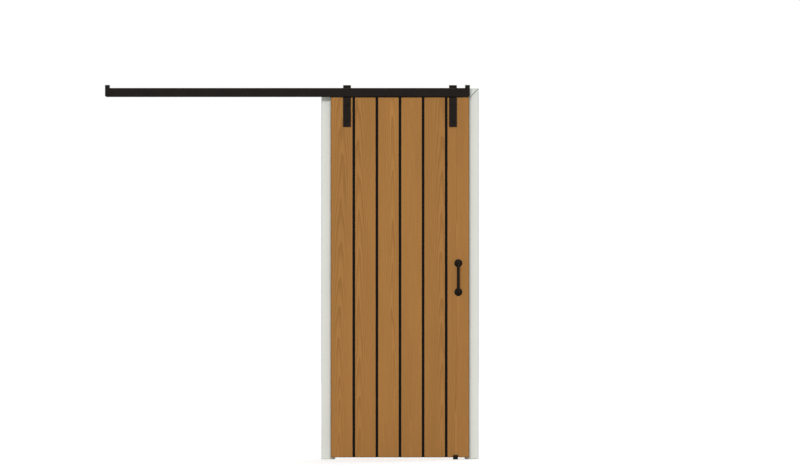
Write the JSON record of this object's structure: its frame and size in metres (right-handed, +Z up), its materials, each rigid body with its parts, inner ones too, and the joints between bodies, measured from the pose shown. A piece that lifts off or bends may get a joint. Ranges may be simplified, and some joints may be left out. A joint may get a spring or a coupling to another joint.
{
  "type": "sliding barn door",
  "caption": "Sliding barn door of upright boards hung by folded straps from a channel rail, with its cased doorway frame, floor guide, pull handle and flush pull.",
  "frame": {"origin": "on the floor in the middle of the doorway's clear width, in the plane of the wall's front face", "axes": "+X to the right along the wall as seen from the door's side, +Y into the wall, +Z up; the door slides towards -X to open"},
  "size_m": [2.191, 0.2545, 2.196],
  "materials": {
    "boards": "stained softwood boards with a thin clear satin coat, grain along each board",
    "painted_trim": "smooth off-white satin paint on wood",
    "black_hardware": "near-black powder coat on steel, satin with a fine texture",
    "zinc_steel": "bright zinc-plated steel",
    "bearing_steel": "ground and polished steel",
    "nylon": "natural off-white nylon, turned",
    "rubber": "black moulded rubber"
  },
  "bodies": {
    "root": {"jamb_left": "painted_trim", "jamb_right": "painted_trim", "jamb_head": "painted_trim", "casing_front_left": "painted_trim", "casing_front_right": "painted_trim", "casing_front_head": "painted_trim", "casing_back_left": "painted_trim", "casing_back_right": "painted_trim", "casing_back_head": "painted_trim", "rail_channel": "black_hardware", "rail_bracket_left": "black_hardware", "rail_bracket_right": "black_hardware", "floor_guide": "black_hardware", "stop_block_left": "zinc_steel", "stop_block_right": "zinc_steel", "bumper_left": "rubber", "bumper_right": "rubber", "rail_screws": "black_hardware", "guide_pad_front": "nylon", "guide_pad_back": "nylon"},
    "door": {"board_1": "boards", "board_2": "boards", "board_3": "boards", "board_4": "boards", "board_5": "boards", "board_6": "boards", "ledge_bottom": "boards", "ledge_middle": "boards", "ledge_top": "boards", "brace_lower": "boards", "brace_upper": "boards", "strap_left": "black_hardware", "strap_right": "black_hardware", "trolley_bar_left": "zinc_steel", "trolley_bar_right": "zinc_steel", "strap_bolts": "black_hardware", "strap_washers": "zinc_steel", "strap_nuts": "zinc_steel", "trolley_bolts": "zinc_steel", "trolley_washers": "zinc_steel", "trolley_spacers": "zinc_steel", "roller_axles": "zinc_steel", "axle_spacers": "zinc_steel", "pull_handle": "black_hardware", "rosette_lower": "black_hardware", "rosette_upper": "black_hardware", "flush_pull": "black_hardware", "handle_bolts": "zinc_steel", "flush_pull_screws": "zinc_steel"},
    "roller_body_1": {"roller_1": "nylon", "bearing_1": "bearing_steel"},
    "roller_body_2": {"roller_2": "nylon", "bearing_2": "bearing_steel"},
    "roller_body_3": {"roller_3": "nylon", "bearing_3": "bearing_steel"},
    "roller_body_4": {"roller_4": "nylon", "bearing_4": "bearing_steel"}
  },
  "joints": [
    {"name": "door_slide", "type": "slide", "parent": "root", "child": "door", "axis": [-1, 0, 0], "range_m": [0, 1.32]},
    {"name": "roller_1_spin", "type": "hinge", "parent": "door", "child": "roller_body_1", "pos_m": [-0.3608, -0.056, 2.1483], "axis": [0, 1, 0], "continuous": true},
    {"name": "roller_2_spin", "type": "hinge", "parent": "door", "child": "roller_body_2", "pos_m": [-0.2608, -0.056, 2.1483], "axis": [0, 1, 0], "continuous": true},
    {"name": "roller_3_spin", "type": "hinge", "parent": "door", "child": "roller_body_3", "pos_m": [0.2608, -0.056, 2.1483], "axis": [0, 1, 0], "continuous": true},
    {"name": "roller_4_spin", "type": "hinge", "parent": "door", "child": "roller_body_4", "pos_m": [0.3608, -0.056, 2.1483], "axis": [0, 1, 0], "continuous": true}
  ],
  "couplings": [
    {"joint": "roller_1_spin", "follows": "door_slide", "rad_per_m": -52.632},
    {"joint": "roller_2_spin", "follows": "door_slide", "rad_per_m": -52.632},
    {"joint": "roller_3_spin", "follows": "door_slide", "rad_per_m": -52.632},
    {"joint": "roller_4_spin", "follows": "door_slide", "rad_per_m": -52.632}
  ]
}
